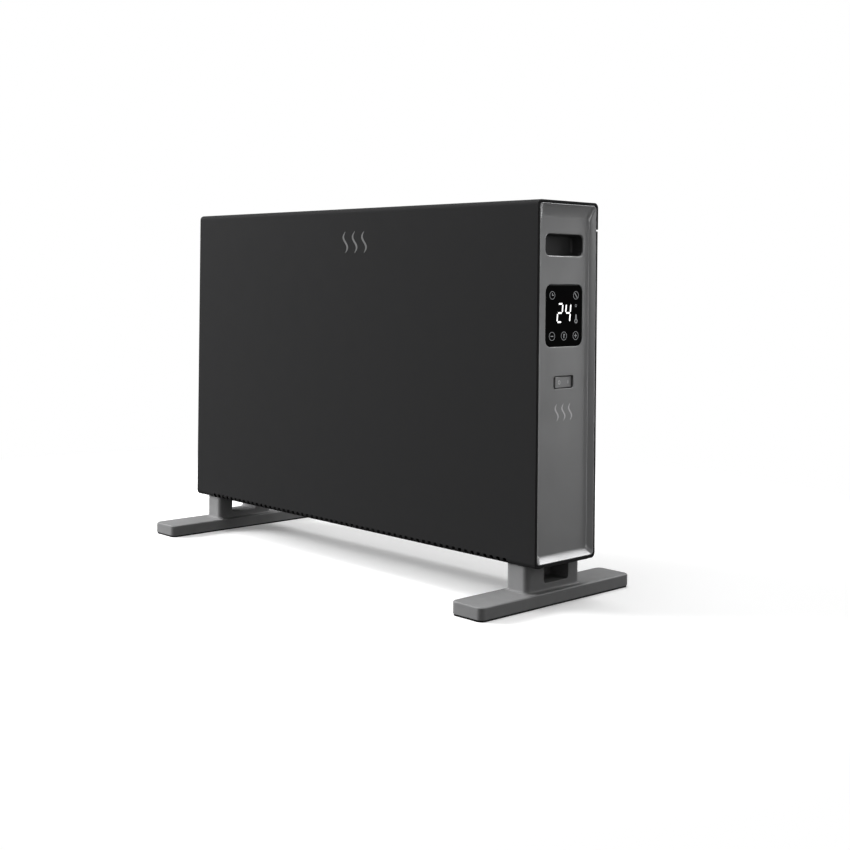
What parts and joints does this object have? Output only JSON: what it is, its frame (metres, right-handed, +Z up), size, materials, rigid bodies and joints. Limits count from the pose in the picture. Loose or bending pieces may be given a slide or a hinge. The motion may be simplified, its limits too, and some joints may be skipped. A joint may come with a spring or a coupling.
{
  "type": "panel convector heater",
  "caption": "Slim free-standing electric panel convector heater with dished end caps, display, rocker switch, carry grips and bar feet.",
  "frame": {"origin": "on the floor, under the middle of the heater's bounding box", "axes": "+X to the end with the controls, along the heater's length; -Y to the front panel; +Z up"},
  "size_m": [0.65, 0.25, 0.446],
  "materials": {
    "charcoal_paint": "fine matt powder coat, near black",
    "graphite_cap": "satin graphite grey moulding",
    "foot_plastic": "satin mid grey moulding",
    "black_plastic": "matt black moulding",
    "black_glass": "gloss black display window",
    "rubber": "matt black rubber",
    "zinc_steel": "zinc plated steel",
    "aluminium": "plain extruded aluminium",
    "ceramic": "unglazed off-white ceramic",
    "circuit_board": "green glass-fibre board",
    "component_blue": "blue component casing",
    "winding": "varnished copper winding and core, taken as brass",
    "brass": "turned brass weight",
    "wire_sheath": "brown silicone sheath"
  },
  "bodies": {
    "heater": {"front_shell": "charcoal_paint", "rear_panel": "charcoal_paint", "base_tray": "charcoal_paint", "outlet_grille": "black_plastic", "right_end_cap": "graphite_cap", "left_end_cap": "graphite_cap", "right_handle_pocket": "black_plastic", "left_handle_pocket": "black_plastic", "display_lens": "black_glass", "digit_module": "black_plastic", "display_board": "circuit_board", "rocker_housing": "black_plastic", "right_partition": "zinc_steel", "left_partition": "zinc_steel", "heat_shield": "aluminium", "heating_element_front": "aluminium", "heating_element_rear": "aluminium", "heater_rod_front": "zinc_steel", "heater_rod_rear": "zinc_steel", "insulator_right_front": "ceramic", "insulator_right_rear": "ceramic", "insulator_left_front": "ceramic", "insulator_left_rear": "ceramic", "thermal_cutout": "black_plastic", "thermal_fuse": "zinc_steel", "control_board": "circuit_board", "board_rail_lower": "black_plastic", "board_rail_upper": "black_plastic", "relay_1": "component_blue", "relay_2": "component_blue", "transformer": "winding", "capacitor": "component_blue", "triac_heatsink": "aluminium", "terminal_block": "ceramic", "cord_gland": "black_plastic", "temperature_probe": "zinc_steel", "tilt_switch_case": "black_plastic", "tilt_switch_cover": "black_plastic", "tilt_switch_pin": "zinc_steel", "right_foot": "foot_plastic", "left_foot": "foot_plastic", "right_foot_sole": "rubber", "left_foot_sole": "rubber", "right_foot_bracket": "zinc_steel", "left_foot_bracket": "zinc_steel", "foot_screw_right_front": "zinc_steel", "foot_screw_right_rear": "zinc_steel", "foot_screw_left_front": "zinc_steel", "foot_screw_left_rear": "zinc_steel", "rear_screw_1": "zinc_steel", "rear_screw_2": "zinc_steel", "rear_screw_3": "zinc_steel", "rear_screw_4": "zinc_steel", "live_wire": "wire_sheath", "neutral_wire": "wire_sheath", "heater_lead": "wire_sheath", "display_lead": "wire_sheath"},
    "power_rocker": {"power_rocker": "graphite_cap"},
    "tilt_pendulum": {"tilt_pendulum": "brass"}
  },
  "joints": [
    {"name": "power_rocker_tilt", "type": "hinge", "parent": "heater", "child": "power_rocker", "pos_m": [0.31457, 0, 0.2456], "axis": [0, 0, -1], "range_deg": [0, 12]},
    {"name": "tilt_pendulum_swing", "type": "hinge", "parent": "heater", "child": "tilt_pendulum", "pos_m": [0.26175, -0.026, 0.0773], "axis": [1, 0, 0], "range_deg": [-35, 35]}
  ]
}
